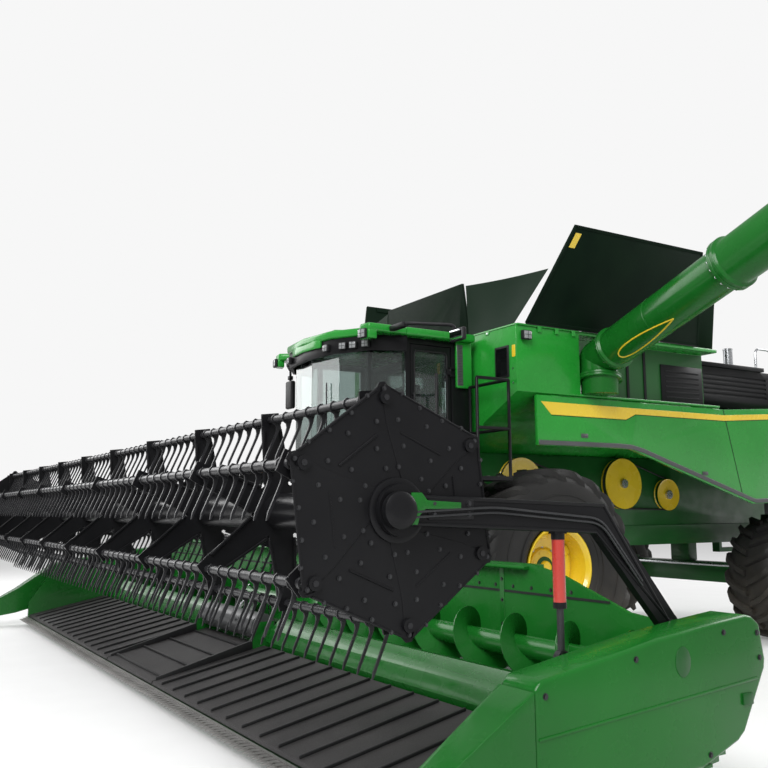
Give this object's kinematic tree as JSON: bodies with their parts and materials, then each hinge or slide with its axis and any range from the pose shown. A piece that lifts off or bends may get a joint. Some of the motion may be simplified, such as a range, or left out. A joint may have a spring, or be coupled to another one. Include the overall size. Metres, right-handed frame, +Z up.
{
  "type": "combine harvester",
  "caption": "Combine harvester with a wide belt header, raised tine reel, open grain tank covers and its unloading auger swung out.",
  "frame": {"origin": "on the ground, under the middle of the whole machine's box", "axes": "+X to the machine's left, along the swung-out auger; +Y to its rear; +Z up"},
  "size_m": [15.069, 10.6, 5.5757],
  "materials": {
    "green_paint": "glossy bright green paint",
    "dark_green_paint": "dark green paint",
    "black_paint": "satin black paint",
    "yellow_paint": "glossy yellow paint",
    "red_paint": "red paint",
    "bright_steel": "bare and plated steel",
    "grey_metal": "dark grey paint",
    "tyre_rubber": "black tyre rubber",
    "belt_rubber": "dark grey belt rubber",
    "boot_rubber": "black moulded rubber",
    "cover_sheet": "dark green-black moulded sheet",
    "corner_cloth": "dark coated cloth",
    "black_plastic": "black moulded plastic",
    "tinted_glass": "tinted safety glass",
    "cab_trim": "grey trim and upholstery",
    "lamp_lens": "clear lamp lenses"
  },
  "bodies": {
    "machine": {"chassis_frame": "dark_green_paint", "separator_body": "dark_green_paint", "front_axle": "dark_green_paint", "rear_axle": "dark_green_paint", "grain_tank": "green_paint", "cover_corners": "corner_cloth", "engine_block": "grey_metal", "engine_deck": "black_paint", "rear_hood": "green_paint", "spreader": "black_paint", "unload_tower": "green_paint", "cab_frame": "black_paint", "cab_roof": "green_paint", "cab_glass": "tinted_glass", "cab_interior": "cab_trim", "lamps": "lamp_lens", "mirrors": "black_plastic", "platform": "black_paint"},
    "cover_left": {"cover_left": "cover_sheet"},
    "cover_right": {"cover_right": "cover_sheet"},
    "cover_front": {"cover_front": "cover_sheet"},
    "cover_rear": {"cover_rear": "cover_sheet"},
    "side_panel_left": {"side_panel_left": "green_paint"},
    "side_panel_right": {"side_panel_right": "green_paint"},
    "cab_door": {"cab_door": "black_paint", "door_glass": "tinted_glass"},
    "unload_auger": {"unload_tube": "green_paint", "unload_spout": "boot_rubber"},
    "wheel_front_left": {"tyre_front_left": "tyre_rubber", "rim_front_left": "yellow_paint"},
    "wheel_front_right": {"tyre_front_right": "tyre_rubber", "rim_front_right": "yellow_paint"},
    "wheel_rear_left": {"tyre_rear_left": "tyre_rubber", "rim_rear_left": "yellow_paint"},
    "wheel_rear_right": {"tyre_rear_right": "tyre_rubber", "rim_rear_right": "yellow_paint"},
    "knuckle_left": {"knuckle_left": "dark_green_paint"},
    "knuckle_right": {"knuckle_right": "dark_green_paint"},
    "tie_rod": {"tie_rod": "bright_steel"},
    "lift_barrels": {"lift_barrels": "black_paint"},
    "lift_rods": {"lift_rods": "bright_steel"},
    "header": {"feeder_house": "green_paint", "header_frame": "green_paint", "end_shields": "green_paint", "dividers": "green_paint", "draper_belts": "belt_rubber", "cutterbar": "bright_steel"},
    "header_auger": {"header_auger": "green_paint"},
    "feed_drum": {"feed_drum": "grey_metal"},
    "reel_arms": {"reel_arms": "black_paint", "reel_barrels": "red_paint"},
    "reel_rods": {"reel_rods": "bright_steel"},
    "reel_core": {"reel_core": "black_paint"},
    "reel_shields": {"reel_shields": "black_paint"},
    "reel_bat_1": {"reel_bat_1": "black_paint"},
    "reel_bat_2": {"reel_bat_2": "black_paint"},
    "reel_bat_3": {"reel_bat_3": "black_paint"},
    "reel_bat_4": {"reel_bat_4": "black_paint"},
    "reel_bat_5": {"reel_bat_5": "black_paint"},
    "reel_bat_6": {"reel_bat_6": "black_paint"}
  },
  "joints": [
    {"name": "wheel_front_left_spin", "type": "hinge", "parent": "machine", "child": "wheel_front_left", "pos_m": [-0.54453, -0.5, 1.025], "axis": [1, 0, 0], "continuous": true},
    {"name": "wheel_front_right_spin", "type": "hinge", "parent": "machine", "child": "wheel_front_right", "pos_m": [-3.44453, -0.5, 1.025], "axis": [1, 0, 0], "continuous": true},
    {"name": "steer_left", "type": "hinge", "parent": "machine", "child": "knuckle_left", "pos_m": [-0.91453, 3.45, 0.775], "axis": [0, 0, 1], "range_deg": [-26, 26]},
    {"name": "wheel_rear_left_spin", "type": "hinge", "parent": "knuckle_left", "child": "wheel_rear_left", "pos_m": [-0.44453, 3.45, 0.775], "axis": [1, 0, 0], "continuous": true},
    {"name": "steer_right", "type": "hinge", "parent": "machine", "child": "knuckle_right", "pos_m": [-3.07453, 3.45, 0.775], "axis": [0, 0, 1], "range_deg": [-26, 26]},
    {"name": "wheel_rear_right_spin", "type": "hinge", "parent": "knuckle_right", "child": "wheel_rear_right", "pos_m": [-3.54453, 3.45, 0.775], "axis": [1, 0, 0], "continuous": true},
    {"name": "tie_rod_swing", "type": "hinge", "parent": "knuckle_left", "child": "tie_rod", "pos_m": [-0.91453, 3.2, 0.885], "axis": [0, 0, 1], "range_deg": [-26, 26]},
    {"name": "header_lift", "type": "hinge", "parent": "machine", "child": "header", "pos_m": [-1.99453, -0.9, 1.65], "axis": [-1, 0, 0], "range_deg": [0, 18]},
    {"name": "lift_barrel_swing", "type": "hinge", "parent": "machine", "child": "lift_barrels", "pos_m": [-1.99453, -0.695, 0.95], "axis": [-1, 0, 0], "range_deg": [0, 17.28]},
    {"name": "lift_rod_slide", "type": "slide", "parent": "lift_barrels", "child": "lift_rods", "axis": [0, -0.9569, -0.2904], "range_m": [0, 0.2311]},
    {"name": "cross_auger_spin", "type": "hinge", "parent": "header", "child": "header_auger", "pos_m": [-1.99453, -2.9, 0.73], "axis": [1, 0, 0], "continuous": true},
    {"name": "feed_drum_spin", "type": "hinge", "parent": "header", "child": "feed_drum", "pos_m": [-1.99453, -3.28382, 0.52662], "axis": [1, 0, 0], "continuous": true},
    {"name": "reel_lift", "type": "hinge", "parent": "header", "child": "reel_arms", "pos_m": [-1.99453, -2.9, 1], "axis": [-1, 0, 0], "range_deg": [-14, 0]},
    {"name": "reel_rod_slide", "type": "slide", "parent": "reel_arms", "child": "reel_rods", "axis": [0, 0, -1], "range_m": [-0.1945, 0]},
    {"name": "reel_spin", "type": "hinge", "parent": "reel_arms", "child": "reel_core", "pos_m": [-1.99453, -4.635, 1.62], "axis": [1, 0, 0], "continuous": true},
    {"name": "reel_shields_spin", "type": "hinge", "parent": "reel_arms", "child": "reel_shields", "pos_m": [-1.99453, -4.6, 1.62], "axis": [1, 0, 0], "continuous": true},
    {"name": "reel_bat_1_spin", "type": "hinge", "parent": "reel_core", "child": "reel_bat_1", "pos_m": [-1.99453, -4.69421, 2.13964], "axis": [1, 0, 0], "continuous": true},
    {"name": "reel_bat_2_spin", "type": "hinge", "parent": "reel_core", "child": "reel_bat_2", "pos_m": [-1.99453, -5.11462, 1.82855], "axis": [1, 0, 0], "continuous": true},
    {"name": "reel_bat_3_spin", "type": "hinge", "parent": "reel_core", "child": "reel_bat_3", "pos_m": [-1.99453, -5.05542, 1.30891], "axis": [1, 0, 0], "continuous": true},
    {"name": "reel_bat_4_spin", "type": "hinge", "parent": "reel_core", "child": "reel_bat_4", "pos_m": [-1.99453, -4.5758, 1.10036], "axis": [1, 0, 0], "continuous": true},
    {"name": "reel_bat_5_spin", "type": "hinge", "parent": "reel_core", "child": "reel_bat_5", "pos_m": [-1.99453, -4.15538, 1.41145], "axis": [1, 0, 0], "continuous": true},
    {"name": "reel_bat_6_spin", "type": "hinge", "parent": "reel_core", "child": "reel_bat_6", "pos_m": [-1.99453, -4.21458, 1.93109], "axis": [1, 0, 0], "continuous": true},
    {"name": "unload_swing", "type": "hinge", "parent": "machine", "child": "unload_auger", "pos_m": [-0.25453, 0.2, 3.25], "axis": [-0.1174, 0.1323, 0.9842], "range_deg": [-8, 98]},
    {"name": "cover_left_fold", "type": "hinge", "parent": "machine", "child": "cover_left", "pos_m": [-0.27453, -0.5, 3.5503], "axis": [0, -1, 0], "range_deg": [0, 112], "deforming": ["cover_corners"]},
    {"name": "cover_right_fold", "type": "hinge", "parent": "machine", "child": "cover_right", "pos_m": [-3.71453, -0.5, 3.5503], "axis": [0, 1, 0], "range_deg": [0, 112]},
    {"name": "cover_front_fold", "type": "hinge", "parent": "machine", "child": "cover_front", "pos_m": [-1.99453, -0.8997, 3.495], "axis": [-1, 0, 0], "range_deg": [0, 94]},
    {"name": "cover_rear_fold", "type": "hinge", "parent": "machine", "child": "cover_rear", "pos_m": [-1.99453, 2.1497, 3.495], "axis": [1, 0, 0], "range_deg": [0, 94]},
    {"name": "side_panel_left_hinge", "type": "hinge", "parent": "machine", "child": "side_panel_left", "pos_m": [-0.26953, -0.5, 2.8], "axis": [0, -1, 0], "range_deg": [0, 60]},
    {"name": "side_panel_right_hinge", "type": "hinge", "parent": "machine", "child": "side_panel_right", "pos_m": [-3.71953, -0.5, 2.8], "axis": [0, 1, 0], "range_deg": [0, 60]},
    {"name": "cab_door_hinge", "type": "hinge", "parent": "machine", "child": "cab_door", "pos_m": [-0.96253, -1.296, 2.5], "axis": [0, 0, 1], "range_deg": [0, 70]}
  ],
  "couplings": [
    {"joint": "steer_right", "follows": "steer_left", "ratio": 1},
    {"joint": "tie_rod_swing", "follows": "steer_left", "ratio": -1},
    {"joint": "lift_barrel_swing", "follows": "header_lift", "ratio": 0.932},
    {"joint": "lift_rod_slide", "follows": "header_lift", "m_per_rad": 0.7197},
    {"joint": "reel_rod_slide", "follows": "reel_lift", "m_per_rad": 0.7757},
    {"joint": "reel_shields_spin", "follows": "reel_spin", "ratio": 1},
    {"joint": "reel_bat_1_spin", "follows": "reel_spin", "ratio": -1},
    {"joint": "reel_bat_2_spin", "follows": "reel_spin", "ratio": -1},
    {"joint": "reel_bat_3_spin", "follows": "reel_spin", "ratio": -1},
    {"joint": "reel_bat_4_spin", "follows": "reel_spin", "ratio": -1},
    {"joint": "reel_bat_5_spin", "follows": "reel_spin", "ratio": -1},
    {"joint": "reel_bat_6_spin", "follows": "reel_spin", "ratio": -1},
    {"joint": "cover_right_fold", "follows": "cover_left_fold", "ratio": 1},
    {"joint": "cover_front_fold", "follows": "cover_left_fold", "ratio": 0.8392},
    {"joint": "cover_rear_fold", "follows": "cover_left_fold", "ratio": 0.8392}
  ]
}
